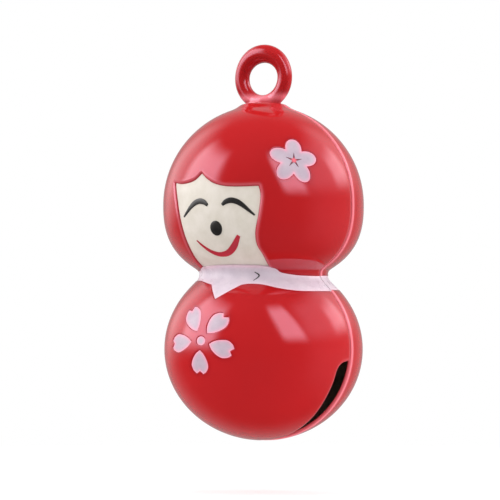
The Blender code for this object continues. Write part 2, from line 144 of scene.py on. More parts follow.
def dollRadius(z):
    z = np.asarray(z, float)
    ball = doll["ballRadius"] * np.sqrt(np.clip(1 - ((z - ballZ) / doll["ballHalfHeight"]) ** 2, 0, 1))
    up = z - headZ
    over = doll["headRadius"] * np.sqrt(np.clip(1 - (up / doll["headRise"]) ** 2, 0, 1))
    power = doll["undersideSquareness"]
    under = doll["headRadius"] * (1 - np.clip(-up / doll["headDrop"], 0, 1) ** power) ** (1 / power)
    larger = np.maximum(ball, under)
    gap = larger - doll["neckRadius"]
    fillet = (np.sqrt(gap**2 + doll["neckBlend"] ** 2) - gap) / 2
    waist = larger + fillet * np.exp(-((np.maximum(gap, 0) / doll["neckReach"]) ** 2))
    return np.where(z <= ballZ, ball, np.where(z >= headZ, over, waist))


def dollNormal(z):
    # outward direction at a height, as its share along the radius and its share along Z
    z = np.asarray(z, float)
    radius = dollRadius(z)
    small = 0.004
    slope = (dollRadius(z + small) - dollRadius(z - small)) / (2 * small)
    across, along = np.ones_like(z), -slope
    top, bottom = z >= headZ, z <= ballZ
    across = np.where(top, radius / doll["headRadius"] ** 2, across)
    along = np.where(top, (z - headZ) / doll["headRise"] ** 2, along)
    across = np.where(bottom, radius / doll["ballRadius"] ** 2, across)
    along = np.where(bottom, (z - ballZ) / doll["ballHalfHeight"] ** 2, along)
    length = np.hypot(across, along)
    return across / length, along / length


def onDoll(turn, z, depth):
    # turn is the angle from the doll's front towards its left hand
    across, along = dollNormal(z)
    radius = dollRadius(z) - across * depth
    return np.stack([radius * np.sin(turn), -radius * np.cos(turn), z - along * depth], axis=-1)


# ---- flat outlines, and where they lie on the doll ----

def smoothRun(keys, steps):
    # a smooth line through the keys, without the last one
    line = []
    last = len(keys) - 1
    for i in range(last):
        before = Vector(keys[max(i - 1, 0)])
        start = Vector(keys[i])
        end = Vector(keys[i + 1])
        after = Vector(keys[min(i + 2, last)])
        for step in range(steps):
            t = step / steps
            point = start * (2 * t**3 - 3 * t**2 + 1) + end * (3 * t**2 - 2 * t**3)
            point += (end - before) / 2 * (t**3 - 2 * t**2 + t) + (after - start) / 2 * (t**3 - t**2)
            line.append((point.x, point.y))
    return line


def closedOutline(runs, steps=5):
    # smooth runs that meet at sharp corners, each starting where the last one ended
    line = []
    for i, run in enumerate(runs):
        line += smoothRun([*run, runs[(i + 1) % len(runs)][0]], steps)
    return line


def brushStroke(keys, widths, steps=6):
    line = [*smoothRun(keys, steps), keys[-1]]
    thick = [*(w for w, _ in smoothRun([(w, 0.0) for w in widths], steps)), widths[-1]]
    one, other = [], []
    for i, point in enumerate(line):
        along = Vector(line[min(i + 1, len(line) - 1)]) - Vector(line[max(i - 1, 0)])
        across = Vector((-along.y, along.x)).normalized() * thick[i] / 2
        one.append((point[0] + across.x, point[1] + across.y))
        other.append((point[0] - across.x, point[1] - across.y))
    return one + other[::-1]


farOff = 9.0  # stands for any distance too large to matter, in millimetres


def insideDistance(flat, outline):
    # how far each point lies inside the outline, negative outside it; far points are not worked out
    outline = np.array(outline, float)
    reach = 1.0
    near = np.all((flat > outline.min(0) - reach) & (flat < outline.max(0) + reach), axis=1)
    found = np.full(len(flat), -farOff)
    some = flat[near]
    closest = np.full(len(some), farOff)
    inside = np.zeros(len(some), bool)
    for start, end in zip(outline, np.roll(outline, -1, axis=0)):
        run = end - start
        share = np.clip((some - start) @ run / max(run @ run, 1e-12), 0, 1)
        gap = some - start - share[:, None] * run
        closest = np.minimum(closest, np.hypot(gap[:, 0], gap[:, 1]))
        if start[1] != end[1]:
            crosses = (start[1] > some[:, 1]) != (end[1] > some[:, 1])
            at = start[0] + (some[:, 1] - start[1]) * run[0] / run[1]
            inside ^= crosses & (some[:, 0] < at)
    found[near] = np.where(inside, closest, -closest)
    return found


def place(height, azimuth=0.0, elevation=0.0, turn=0.0, stretch=(1.0, 1.0)):
    # a flat drawing's own axes: u to the right, v up, and out of the doll
    a, e = math.radians(azimuth), math.radians(elevation)
    right = np.array([math.cos(a), math.sin(a), 0.0])
    out = np.array([math.sin(a) * math.cos(e), -math.cos(a) * math.cos(e), math.sin(e)])
    up = np.cross(out, right)
    t = math.radians(turn)
    u = right * math.cos(t) - up * math.sin(t)
    v = right * math.sin(t) + up * math.cos(t)
    middle = np.array([0.0, 0.0, height])
    return {"middle": middle, "u": u, "v": v, "out": out, "stretch": np.array(stretch)}


def flatOf(xyz, where):
    # points on the far side of the doll are sent well away from the drawing
    away = xyz - where["middle"]
    flat = np.stack([away @ where["u"], away @ where["v"]], axis=-1) / where["stretch"]
    flat[away @ where["out"] < 0] = 10 * farOff
    return flat


def ontoDoll(flat, depth, where):
    # carries flat points out of the doll until they meet its surface, then sinks them by depth
    flat = flat * where["stretch"]
    start = where["middle"] + flat[:, :1] * where["u"] + flat[:, 1:2] * where["v"]
    near, far = np.zeros(len(flat)), np.full(len(flat), doll["reach"])
    for _ in range(doll["halvings"]):
        middle = (near + far) / 2
        at = start + middle[:, None] * where["out"]
        outside = np.hypot(at[:, 0], at[:, 1]) > dollRadius(at[:, 2])
        far = np.where(outside, middle, far)
        near = np.where(outside, near, middle)
    at = start + near[:, None] * where["out"]
    return onDoll(np.arctan2(at[:, 0], -at[:, 1]), at[:, 2], depth)


front = place(0.0)
hairFlowerPlace = place(headZ, azimuth=48.2, elevation=23, turn=7)
robeFlowerPlace = place(ballZ, azimuth=-8.7, elevation=5, stretch=(1.10, 0.93))

faceDrawing = {
    "fringeLeft": [(-4.05, 1.45), (-3.3, 1.34), (-2.4, 1.40), (-1.75, 1.60)],
    "fringePeak": [(-1.22, 2.04), (-0.75, 1.66), (-0.05, 1.28), (0.9, 1.04), (2.1, 0.98)],
    "leftCheek": [(3.35, 1.02), (3.5, 0.3), (3.35, -1.0), (2.98, -2.4), (2.86, -3.4), (2.95, -4.1)],
    "chin": [(2.75, -5.05), (0.0, -5.05)],
    "rightCheek": [(-2.75, -5.05), (-2.9, -4.3), (-2.96, -3.4), (-3.14, -2.3), (-3.4, -1.0), (-3.7, 0.3)],
    "eye": [(0.62, -0.33), (0.95, -0.08), (1.45, 0.0), (2.1, -0.28), (3.05, -1.12)],
    "eyeWidths": [0.22, 0.38, 0.42, 0.36, 0.12],
    "mouth": [(-2.05, -2.92), (-1.55, -3.38), (-0.95, -3.80), (-0.25, -4.0), (0.5, -3.86), (1.16, -3.36),
              (1.70, -2.62)],
    "mouthWidths": [0.10, 0.20, 0.28, 0.34, 0.40, 0.44, 0.26],
    "nose": (0.0, -2.05),
    "noseSize": (0.50, 0.56),
    "marksX": 0.10,
}


def raised(points, height):
    return [(x, y + height) for x, y in points]


def strokeOnFace(kind, side):
    # side is 1 as drawn, on the doll's left, and -1 for its mirror image
    line = brushStroke(faceDrawing[kind], faceDrawing[kind + "Widths"])
    return [(faceDrawing["marksX"] + side * x, y + headZ) for x, y in line]


def around(radii):
    # an outline with the given radii at even turns, clockwise from the top
    ring = []
    for i, radius in enumerate(radii):
        angle = 2 * math.pi * i / len(radii)
        ring.append((radius * math.sin(angle), radius * math.cos(angle)))
    return ring


faceRuns = ("fringeLeft", "fringePeak", "leftCheek", "chin", "rightCheek")
faceOutline = raised(closedOutline([faceDrawing[run] for run in faceRuns]), headZ)
plum = {"notch": 1.0, "lobe": 0.83, "fullness": 1.1, "steps": 100}
plumOutline = around([
    plum["notch"] + plum["lobe"] * abs(math.cos(5 * math.pi * i / plum["steps"])) ** plum["fullness"]
    for i in range(plum["steps"])
])

collar = {
    "side": 6.6,
    "lowerLeft": [(6.6, 4.45), (5.3, 4.38), (4.5, 4.44), (3.6, 4.62), (2.6, 4.86), (1.7, 4.92),
                  (1.1, 4.84)],
    "tip": [(-0.55, 3.8)],
    "lowerRight": [(-1.5, 4.88), (-2.1, 5.0), (-2.8, 5.14), (-3.5, 5.22), (-4.3, 5.22), (-6.6, 5.22)],
    "upper": [(-6.6, 5.78), (-4.7, 5.78), (-4.0, 5.8), (-3.4, 5.86), (-2.8, 6.0), (0.0, 6.1),
              (2.8, 6.0), (3.4, 5.66), (4.0, 5.5), (4.7, 5.42), (6.6, 5.42)],
    "backLower": (5.22, 4.45),
    "backUpper": (5.78, 5.42),
    "depth": 0.03,
    "thickness": 0.10,
    "columns": 240,
    "rows": 18,
    "rimTurn": 0.009,
    "hidden": 0.07,
    "tintReach": 0.09,
    "tint": 0.8,
}
collarLowerLine = [
    *smoothRun(collar["lowerLeft"], 8), *smoothRun([collar["lowerLeft"][-1], *collar["tip"]], 4),
    *smoothRun([*collar["tip"], collar["lowerRight"][0]], 4), *smoothRun(collar["lowerRight"], 8),
    collar["lowerRight"][-1],
]
collarUpperLine = [*smoothRun(collar["upper"], 8), collar["upper"][-1]]
collarOutline = raised(collarLowerLine + collarUpperLine, ballZ)
# seen from behind, the doll's left side is on the left
backCollarOutline = raised(
    [(-collar["side"], collar["backLower"][1]), (collar["side"], collar["backLower"][0]),
     (collar["side"], collar["backUpper"][0]), (-collar["side"], collar["backUpper"][1])],
    ballZ,
)


def turned(flat, angle, length=1.0):
    c, s = math.cos(angle), math.sin(angle)
    flat = np.asarray(flat, float) * (length, 1)
    return np.stack([flat[:, 0] * c - flat[:, 1] * s, flat[:, 0] * s + flat[:, 1] * c], axis=-1)


petal = {
    "oneSide": [(0.84, 0.0), (1.15, 0.32), (1.65, 0.59), (2.15, 0.69), (2.55, 0.52)],
    "notch": [[(2.74, 0.28)], [(2.52, 0.0)]],
    "otherSide": [(2.74, -0.28), (2.55, -0.52), (2.15, -0.69), (1.65, -0.59), (1.15, -0.32)],
    "turns": (52, 119, 184, 265, 341),
    "lengths": (0.95, 1.09, 1.08, 0.93, 0.92),
    "centreRadius": 0.33,
}
petalOutline = closedOutline([petal["oneSide"], *petal["notch"], petal["otherSide"]])
petalTurns = [math.radians(turn) for turn in petal["turns"]]
dotOutline = around([petal["centreRadius"]] * 24)

# the cells pressed into the shells: the floor's depth, how wide the rounding of the edge is, and how
# strong a painted highlight runs along that edge
faceCell = {"depth": 0.30, "edge": 0.30, "thinned": 0.35}
collarCell = {"depth": 0.13, "edge": 0.12, "thinned": 0}
flowerCell = {"depth": 0.12, "edge": 0.10, "thinned": 0}
frontCells = [
    {"outline": faceOutline, "place": front, **faceCell},
    {"outline": collarOutline, "place": front, **collarCell},
    {"outline": plumOutline, "place": hairFlowerPlace, **flowerCell},
    {"outline": dotOutline, "place": robeFlowerPlace, **flowerCell},
]
frontCells += [
    {"outline": turned(petalOutline, turn, length), "place": robeFlowerPlace, **flowerCell}
    for turn, length in zip(petalTurns, petal["lengths"])
]
backCells = [{"outline": backCollarOutline, "place": place(0.0, azimuth=180), **collarCell}]


# ---- materials ----

def newMaterial(name, **sockets):
    material = bpy.data.materials.new(name)
    material.use_nodes = True
    shader = material.node_tree.nodes["Principled BSDF"]
    for socket, value in sockets.items():
        shader.inputs[socket.replace("_", " ")].default_value = value
    return material, material.node_tree, shader


def noiseField(tree, scale, detail=3.0, roughness=0.5, seed=0.0):
    where = tree.nodes.new("ShaderNodeTexCoord")
    move = tree.nodes.new("ShaderNodeMapping")
    move.inputs["Location"].default_value = (seed, seed * 0.7, -seed)
    noise = tree.nodes.new("ShaderNodeTexNoise")
    noise.inputs["Scale"].default_value = scale
    noise.inputs["Detail"].default_value = detail
    noise.inputs["Roughness"].default_value = roughness
    tree.links.new(where.outputs["Object"], move.inputs["Vector"])
    tree.links.new(move.outputs["Vector"], noise.inputs["Vector"])
    return noise.outputs["Fac"]


def ramp(tree, factor, stops):
    node = tree.nodes.new("ShaderNodeValToRGB")
    while len(node.color_ramp.elements) < len(stops):
        node.color_ramp.elements.new(0.5)
    for element, (at, colour) in zip(node.color_ramp.elements, stops):
        element.position = at
        element.color = (*colour, 1.0)
    tree.links.new(factor, node.inputs["Fac"])
    return node.outputs["Color"]


def blended(tree, factor, first, second):
    node = tree.nodes.new("ShaderNodeMix")
    node.data_type = "RGBA"
    for name, kind, value in (("Factor", "VALUE", factor), ("A", "RGBA", first), ("B", "RGBA", second)):
        spot = next(i for i in node.inputs if i.name == name and i.type == kind)
        if isinstance(value, (int, float)):
            spot.default_value = value
        elif isinstance(value, tuple):
            spot.default_value = (*value, 1.0)
        else:
            tree.links.new(value, spot)
    return next(o for o in node.outputs if o.type == "RGBA")


def ranged(tree, factor, low, high):
    node = tree.nodes.new("ShaderNodeMapRange")
    node.inputs["To Min"].default_value = low
    node.inputs["To Max"].default_value = high
    tree.links.new(factor, node.inputs["Value"])
    return node.outputs["Result"]


def kept(tree, label):
    node = tree.nodes.new("ShaderNodeAttribute")
    node.attribute_name = label
    return node.outputs["Fac"]


def bumps(tree, shader, height, distance):
    node = tree.nodes.new("ShaderNodeBump")
    node.inputs["Distance"].default_value = distance
    node.inputs["Strength"].default_value = 1.0
    tree.links.new(height, node.inputs["Height"])
    tree.links.new(node.outputs["Normal"], shader.inputs["Normal"])


def wandering(tree, shader, scale, detail, roughness, seed, ends):
    # the gloss wanders between two roughnesses
    field = noiseField(tree, scale, detail, roughness, seed)
    tree.links.new(ranged(tree, field, *ends), shader.inputs["Roughness"])


redColours = {
    "deep": (0.38, 0.011, 0.010),
    "bright": (0.46, 0.013, 0.015),
    "brightShare": 0.65,
    # the colour of the painted shade beside the cells' edges
    "paintedShadow": (0.20, 0.002, 0.008),
    # the colour of the painted highlight on the rims and edges
    "thin": (0.90, 0.24, 0.29),
}


def redEnamel():
    # painted shade darkens the red beside each cell's edge and round the top of the loop's foot, and a
    # painted pink highlight pales it along the shells' rims, beside the face cell's edge and in a band on
    # the foot
    material, tree, shader = newMaterial(
        "redEnamel", Coat_Weight=0.15, Coat_Roughness=0.03, Specular_IOR_Level=0.75,
        Specular_Tint=(1.0, 0.60, 0.80, 1.0),
    )
    stops = [(0.30, redColours["deep"]), (0.68, redColours["bright"])]
    flow = ramp(tree, noiseField(tree, 140.0, 3.0, 0.5), stops)
    flow = blended(tree, redColours["brightShare"], flow, redColours["bright"])
    flow = blended(tree, kept(tree, "paintedShade"), flow, redColours["paintedShadow"])
    flow = blended(tree, kept(tree, "thinned"), flow, redColours["thin"])
    tree.links.new(flow, shader.inputs["Base Color"])
    wandering(tree, shader, 500.0, 4.0, 0.6, 3.0, (0.05, 0.12))
    bumps(tree, shader, noiseField(tree, 420.0, 2.0, 0.4, 7.0), 0.000012)
    return material


def bareBrass():
    material, tree, shader = newMaterial("bareBrass", Metallic=1.0)
    stops = [(0.35, (0.42, 0.38, 0.32)), (0.7, (0.72, 0.65, 0.52))]
    stain = ramp(tree, noiseField(tree, 600.0, 5.0, 0.6), stops)
    tree.links.new(stain, shader.inputs["Base Color"])
    wandering(tree, shader, 900.0, 4.0, 0.6, 5.0, (0.35, 0.6))
    bumps(tree, shader, noiseField(tree, 2500.0, 3.0, 0.6, 2.0), 0.000010)
    return material


def paleEnamel(name, body, shade, rim, roughness, rimStrength):
    # a thin pale fill: it lets the red below show at its edge, and its colour wanders a little
    material, tree, shader = newMaterial(
        name, Coat_Weight=0.06, Coat_Roughness=0.12, Specular_IOR_Level=0.2,
    )
    cloud = ramp(tree, noiseField(tree, 900.0, 4.0, 0.6), [(0.35, shade), (0.65, body)])
    edge = tree.nodes.new("ShaderNodeMath")
    edge.operation = "MULTIPLY"
    edge.inputs[1].default_value = rimStrength
    tree.links.new(kept(tree, "edge"), edge.inputs[0])
    colour = blended(tree, edge.outputs[0], cloud, rim)
    tree.links.new(colour, shader.inputs["Base Color"])
    wandering(tree, shader, 1500.0, 3.0, 0.5, 4.0, roughness)
    bumps(tree, shader, noiseField(tree, 2200.0, 3.0, 0.5, 9.0), 0.000006)
    return material


def drawnPaint(name, body, thin):
    material, tree, shader = newMaterial(name, Coat_Weight=0.2, Coat_Roughness=0.2)
    cloud = ramp(tree, noiseField(tree, 1800.0, 4.0, 0.6), [(0.4, body), (0.75, thin)])
    colour = blended(tree, ranged(tree, kept(tree, "edge"), 0.0, 0.6), cloud, thin)
    tree.links.new(colour, shader.inputs["Base Color"])
    wandering(tree, shader, 2500.0, 3.0, 0.5, 4.0, (0.28, 0.45))
    bumps(tree, shader, noiseField(tree, 3000.0, 3.0, 0.5, 6.0), 0.000008)
    return material


def greyMetal(name, dark, light, roughness, grain):
    material, tree, shader = newMaterial(name, Metallic=1.0)
    cloud = ramp(tree, noiseField(tree, grain, 5.0, 0.6), [(0.35, dark), (0.65, light)])
    tree.links.new(cloud, shader.inputs["Base Color"])
    wandering(tree, shader, grain * 2, 4.0, 0.6, 5.0, roughness)
    bumps(tree, shader, noiseField(tree, grain * 2.5, 3.0, 0.5, 2.0), 0.000012)
    return material


red = redEnamel()
brass = bareBrass()
cream = paleEnamel(
    "creamEnamel", body=(0.71, 0.665, 0.60), shade=(0.64, 0.595, 0.52), rim=(0.72, 0.52, 0.46),
    roughness=(0.30, 0.42), rimStrength=0.35,
)
blossom = paleEnamel(
    "blossomEnamel", body=(0.50, 0.415, 0.485), shade=(0.44, 0.355, 0.43), rim=(0.88, 0.34, 0.46),
    roughness=(0.22, 0.34), rimStrength=0.9,
)
collarWhite = paleEnamel(
    "collarEnamel", body=(0.70, 0.62, 0.69), shade=(0.62, 0.54, 0.62), rim=(0.86, 0.56, 0.66),
    roughness=(0.22, 0.34), rimStrength=0.6,
)
black = drawnPaint("blackPaint", (0.010, 0.009, 0.009), (0.03, 0.028, 0.026))
crimson = drawnPaint("crimsonPaint", (0.52, 0.008, 0.03), (0.42, 0.01, 0.03))
steel = greyMetal("pelletSteel", (0.38, 0.38, 0.40), (0.60, 0.60, 0.61), (0.22, 0.40), 700.0)
tin = greyMetal("solderTin", (0.42, 0.42, 0.44), (0.66, 0.66, 0.68), (0.35, 0.6), 1200.0)
print("materials made")


# ---- the two half shells ----

# pairs are for the back shell and then the front shell
shell = {
    "columns": 112,
    "rows": 170,
    "wall": 0.45,
    "innerShare": 0.9,
    "outerFrom": 0.985,
    "seamGap": 0.08,
    "rimRoll": 0.22,
    "rimWall": 0.27,
    "rimWallReach": 0.7,
    # a painted highlight along the rims: how far in from the rim it lies, how wide it is, and how strong
    # it is on each shell
    "thinRim": 0.15,
    "thinRimWidth": 0.13,
    "thinRimShare": (1.0, 0.15),
    "swell": 0.24,
    "swellFrom": 1.5,
    "swellReach": 0.5,
    "rimCrowding": 0.018,
    "rimCrowdingEase": 0.9,
    "turnWeight": 1.6,
    "slotReach": 1.5,
    "slotReachBelow": 0.6,
    "slotNarrowsBelow": ballZ - 3.2,
    "slotTop": ballZ - 0.9,
    "slotCorner": 0.9,
    "slotCornerSquareness": 2.5,
    "slotNarrowing": 1.6,
    "cornerCrowding": 3,
    "cornerCrowdingReach": 0.4,
    "refineBands": [0.55, 0.32, 0.17],
    "ridgeAt": 0.55,
    "ridgeWidth": 0.10,
    # painted shade beside the cells' edges: how far it reaches and how dark it is
    "paintedShadeWidth": 0.14,
    "paintedShade": 0.8,
}


def rimReach(z, hasSlot):
    # how far the rim stands from the seam plane
    seam = shell["seamGap"] / 2
    if not hasSlot:
        return np.full_like(z, seam)
    power = shell["slotCornerSquareness"]
    down = np.clip((shell["slotTop"] - z) / shell["slotCorner"], 0, 1)
    tip = (1 - (1 - down) ** power) ** (1 / power)
    under = np.clip((shell["slotNarrowsBelow"] - z) / (shell["slotNarrowsBelow"] - bottomZ), 0, 1)
    under = under ** shell["slotNarrowing"]
    reach = shell["slotReach"] + (shell["slotReachBelow"] - shell["slotReach"]) * under
    return seam + (reach - seam) * tip


def heightsDownDoll(lowest):
    # heights from the crown down, with each one's share of the way: rows are closer together where the
    # outline turns sharply, and beside the slot's top corner
    quarter = np.linspace(0, math.pi / 2, 500)
    last = math.asin(min(1.0, (ballZ - lowest) / doll["ballHalfHeight"]))
    heights = np.concatenate([
        headZ + doll["headRise"] * np.cos(quarter),
        np.linspace(headZ, ballZ, 2400)[1:-1],
        ballZ - doll["ballHalfHeight"] * np.sin(np.linspace(0, last, 500)),
    ])
    radii = dollRadius(heights)
    drop, spread = np.diff(heights), np.diff(radii)
    length = np.hypot(drop, spread)
    heading = np.unwrap(np.arctan2(drop, spread))
    turning = np.abs(np.diff(heading, prepend=heading[0]))
    nearCorner = np.exp(-(((heights[1:] - shell["slotTop"]) / shell["cornerCrowdingReach"]) ** 2))
    crowd = 1 + shell["cornerCrowding"] * nearCorner
    travelled = np.concatenate([[0], np.cumsum((length + shell["turnWeight"] * turning) * crowd)])
    return travelled / travelled[-1], heights


def shellPlaces(sphere, side, table):
    # a point of the plain half sphere, carried to the doll's surface; side is -1 in front and 1 behind
    reach = np.linalg.norm(sphere, axis=1)
    share = np.arccos(np.clip(sphere[:, 2] / reach, -1, 1)) / math.pi
    z = np.interp(share, *table)
    turn = np.arctan2(sphere[:, 0], side * sphere[:, 1])
    across = np.clip((turn + math.pi / 2) / math.pi, 0, 1)
    pull, ease = shell["rimCrowding"], shell["rimCrowdingEase"]
    towardStart = pull * (1 - np.exp(-across / pull * ease))
    towardEnd = pull * (1 - np.exp(-(1 - across) / pull * ease))
    across = (across - towardStart + towardEnd - pull) / (1 - 2 * pull)
    radius = dollRadius(z)
    rim = np.arcsin(np.clip(rimReach(z, side < 0) / np.maximum(radius, 1e-6), 0, 1))
    turn = rim + (math.pi - 2 * rim) * np.clip(across, 0, 1) - math.pi / 2
    if side > 0:
        turn = math.pi - turn
    return turn, z, reach < (1 + shell["innerShare"]) / 2


def pressedDepth(xyz, cells):
    # how deep the pressed cells go at each point of the surface, how near it is to a cell's edge, and how
    # strong the painted highlight is there, on the rounded shoulder just outside a cell's edge
    depth, nearEdge, thinned = np.zeros(len(xyz)), np.full(len(xyz), farOff), np.zeros(len(xyz))
    for cell in cells:
        inside = insideDistance(flatOf(xyz, cell["place"]), cell["outline"])
        share = np.clip(1 + inside / cell["edge"], 0, 1)
        depth = np.maximum(depth, cell["depth"] * (1 - np.sqrt(1 - share**2)))
        nearEdge = np.minimum(nearEdge, np.abs(inside))
        ridge = np.exp(-(((inside + cell["edge"] * shell["ridgeAt"]) / shell["ridgeWidth"]) ** 2))
        thinned = np.maximum(thinned, cell["thinned"] * ridge)
    return depth, nearEdge, thinned


def awayFromRim(xyz, hasSlot):
    # the rim is seen from the doll's side as a line, and distances are taken from everything beyond it
    over, under = crownZ + 1, bottomZ - 3
    heights = np.linspace(bottomZ, over, 60)
    if hasSlot:
        corner = shell["slotTop"] - shell["slotCorner"] * np.linspace(0, 1, 40) ** 2
        heights = np.sort(np.concatenate([heights, corner]))
    line = list(zip(rimReach(heights, hasSlot), heights))
    beyond = [(-farOff, over), (-farOff, under), (line[0][0], under)]
    flat = np.stack([np.abs(xyz[:, 1]), xyz[:, 2]], axis=-1)
    away = np.full(len(xyz), farOff)
    near = flat[:, 0] < shell["slotReach"] + 1
    away[near] = -insideDistance(flat[near], line + beyond)
    return np.clip(away, 0, farOff)


def makeShell(name, side, cells, replaced):
    hasSlot = side < 0
    lowest = bottomZ
    if hasSlot:
        # the front shell ends where the slot's near edge leaves the ball
        share = shell["slotReachBelow"] / doll["ballRadius"]
        lowest = ballZ - doll["ballHalfHeight"] * math.sqrt(1 - share**2)
    table = heightsDownDoll(lowest)

    freshStart()
    bpy.ops.mesh.primitive_uv_sphere_add(segments=2 * shell["columns"], ring_count=shell["rows"], radius=1)
    piece = named(name)
    pickFaces(piece, faceMiddles(piece)[:, 1] * side < 0)
    bpy.ops.mesh.delete(type="FACE")
    bpy.ops.object.mode_set(mode="OBJECT")

    wall = piece.modifiers.new("wall", "SOLIDIFY")
    wall.thickness = 1 - shell["innerShare"]
    wall.offset = -1
    wall.material_offset = 1
    piece.data.materials.append(red)
    piece.data.materials.append(brass)
    applyAll(piece)

    for band in shell["refineBands"]:
        middles = faceMiddles(piece)
        outer = np.linalg.norm(middles, axis=1) > shell["outerFrom"]
        turn, z, _ = shellPlaces(middles, side, table)
        _, nearEdge, _ = pressedDepth(onDoll(turn, z, 0.0), cells)
        pickFaces(piece, outer & (nearEdge < band))
        bpy.ops.mesh.subdivide(number_cuts=1)
        bpy.ops.object.mode_set(mode="OBJECT")

    turn, z, inner = shellPlaces(places(piece), side, table)
    surface = onDoll(turn, z, 0.0)
    pressed, nearEdge, thinEdge = pressedDepth(surface, cells)
    away = awayFromRim(surface, hasSlot)
    share = np.clip(1 - away / shell["rimRoll"], 0, 1)
    rolled = shell["rimRoll"] * (1 - np.sqrt(1 - share**2))
    crownRadius = np.hypot(surface[:, 0], surface[:, 1])
    swell = np.exp(-(np.clip(crownRadius - shell["swellFrom"], 0, farOff) / shell["swellReach"]) ** 2)
    swell = np.where(z > headZ, shell["swell"] * swell, 0)
    narrower = (shell["wall"] - shell["rimWall"]) * np.exp(-((away / shell["rimWallReach"]) ** 2))
    depth = np.where(inner, shell["wall"] - narrower, np.maximum(pressed, rolled) - swell)
    putPlaces(piece, onDoll(turn, z, depth))
    # painted shade darkens the red beside each cell's edge
    paintedShadow = np.exp(-nearEdge / shell["paintedShadeWidth"]) * shell["paintedShade"]
    note(piece, "paintedShade", np.where(inner, 0, paintedShadow))
    # a painted highlight along the rims, mostly on the back shell's, joined with the painted highlight
    # beside the cells' edges
    thinRim = np.exp(-(((away - shell["thinRim"]) / shell["thinRimWidth"]) ** 2))
    thinRim *= shell["thinRimShare"][hasSlot]
    note(piece, "thinned", np.where(inner, 0, np.maximum(thinRim, thinEdge)))

    indices = np.empty(len(piece.data.polygons), np.int32)
    piece.data.polygons.foreach_get("material_index", indices)
    finishPiece(piece, [red, brass], "bell", replaced)
    piece.data.polygons.foreach_set("material_index", indices)
    print(name, "has", len(piece.data.polygons), "faces")
    return piece


makeShell("frontShell", -1, frontCells, ["front_shell"])
makeShell("backShell", 1, backCells, ["back_shell"])


# ---- the hanging loop ----

loop = {
    "radius": 1.85,
    "wire": 0.56,
    "wireAtTop": 0.70,
    "footHalfLength": 1.65,
    "footHalfWidth": 0.85,
    "footTop": -1.45,
    "footBottom": -2.75,
    "footTaper": 0.78,
    "footRounding": 0.2,
    "voxel": 0.05,
    "softenings": 14,
    # painted shade round the top of the foot, and a painted highlight band just below it
    "paintedShadeReach": 0.5,
    "paintedShade": 0.1,
    "thinBandDrop": 0.10,
    "thinBandWidth": 0.28,
}


def makeLoop():
    freshStart()
    bpy.ops.mesh.primitive_torus_add(
        major_radius=loop["radius"], minor_radius=loop["wire"], major_segments=144, minor_segments=48,
        rotation=(math.pi / 2, 0, 0),
    )
    ring = named("hangingLoop")
    bpy.ops.object.transform_apply(location=True, rotation=True, scale=True)
    xyz = places(ring)
    angle = np.arctan2(xyz[:, 0], xyz[:, 2])
    rise = np.clip(np.cos(angle), 0, 1) ** 2
    stretch = 1 + (loop["wireAtTop"] / loop["wire"] - 1) * rise
    middle = np.stack([np.sin(angle), np.zeros(len(angle)), np.cos(angle)], axis=-1) * loop["radius"]
    putPlaces(ring, middle + (xyz - middle) * stretch[:, None])

    freshStart()
    bpy.ops.mesh.primitive_cone_add(
        vertices=96,
        radius1=1,
        radius2=loop["footTaper"],
        depth=loop["footTop"] - loop["footBottom"],
        location=(0, 0, (loop["footTop"] + loop["footBottom"]) / 2),
    )
    foot = named("loopFoot")
    foot.scale = (loop["footHalfLength"], loop["footHalfWidth"], 1)
    bpy.ops.object.transform_apply(location=True, rotation=True, scale=True)
    rounded = foot.modifiers.new("rounded", "BEVEL")
    rounded.width = loop["footRounding"]
    rounded.segments = 4
    rounded.limit_method = "ANGLE"
    applyAll(foot)
    ring.select_set(True)
    bpy.context.view_layer.objects.active = ring
    bpy.ops.object.join()

    cast = ring.modifiers.new("cast", "REMESH")
    cast.mode = "VOXEL"
    cast.voxel_size = loop["voxel"]
    soften = ring.modifiers.new("soften", "SMOOTH")
    soften.factor = 0.5
    soften.iterations = loop["softenings"]
    applyAll(ring)
    # painted shade round the top of the foot, and a painted highlight in a band just below it
    aboveFoot = places(ring)[:, 2] - loop["footTop"]
    paintedShadow = np.clip(1 - np.abs(aboveFoot) / loop["paintedShadeReach"], 0, 1) * loop["paintedShade"]
    note(ring, "paintedShade", paintedShadow)
    note(ring, "thinned", np.exp(-(((aboveFoot + loop["thinBandDrop"]) / loop["thinBandWidth"]) ** 2)))
    finishPiece(ring, [red], "bell", ["hanging_loop"], 60)


makeLoop()
print("loop made")


# ---- enamel fills and painted marks ----

def cutOut(name, outline, thickness, voxel, soften):
    # a flat sheet cut to the outline, with soft edges
    freshStart()
    bpy.ops.mesh.primitive_circle_add(vertices=len(outline), radius=1, fill_type="NGON")
    piece = named(name)
    putPlaces(piece, [(x, y, 0) for x, y in outline])
    thick = piece.modifiers.new("thick", "SOLIDIFY")
    thick.thickness = thickness
    thick.offset = 0
    even = piece.modifiers.new("even", "REMESH")
    even.mode = "VOXEL"
    even.voxel_size = voxel
    rounded = piece.modifiers.new("rounded", "SMOOTH")
    rounded.factor = 0.5
    rounded.iterations = soften
    applyAll(piece)
    return piece


def grown(outline, distance):
    area = sum(a[0] * b[1] - b[0] * a[1] for a, b in zip(outline, outline[1:] + outline[:1]))
    side = 1 if area > 0 else -1
    moved = []
    for i, point in enumerate(outline):
        here = Vector(point)
        arriving = (here - Vector(outline[i - 1])).normalized()
        leaving = (Vector(outline[(i + 1) % len(outline)]) - here).normalized()
        normal = Vector((arriving.y + leaving.y, -arriving.x - leaving.x)).normalized()
        moved.append(tuple(here + normal * (side * distance)))
    return moved


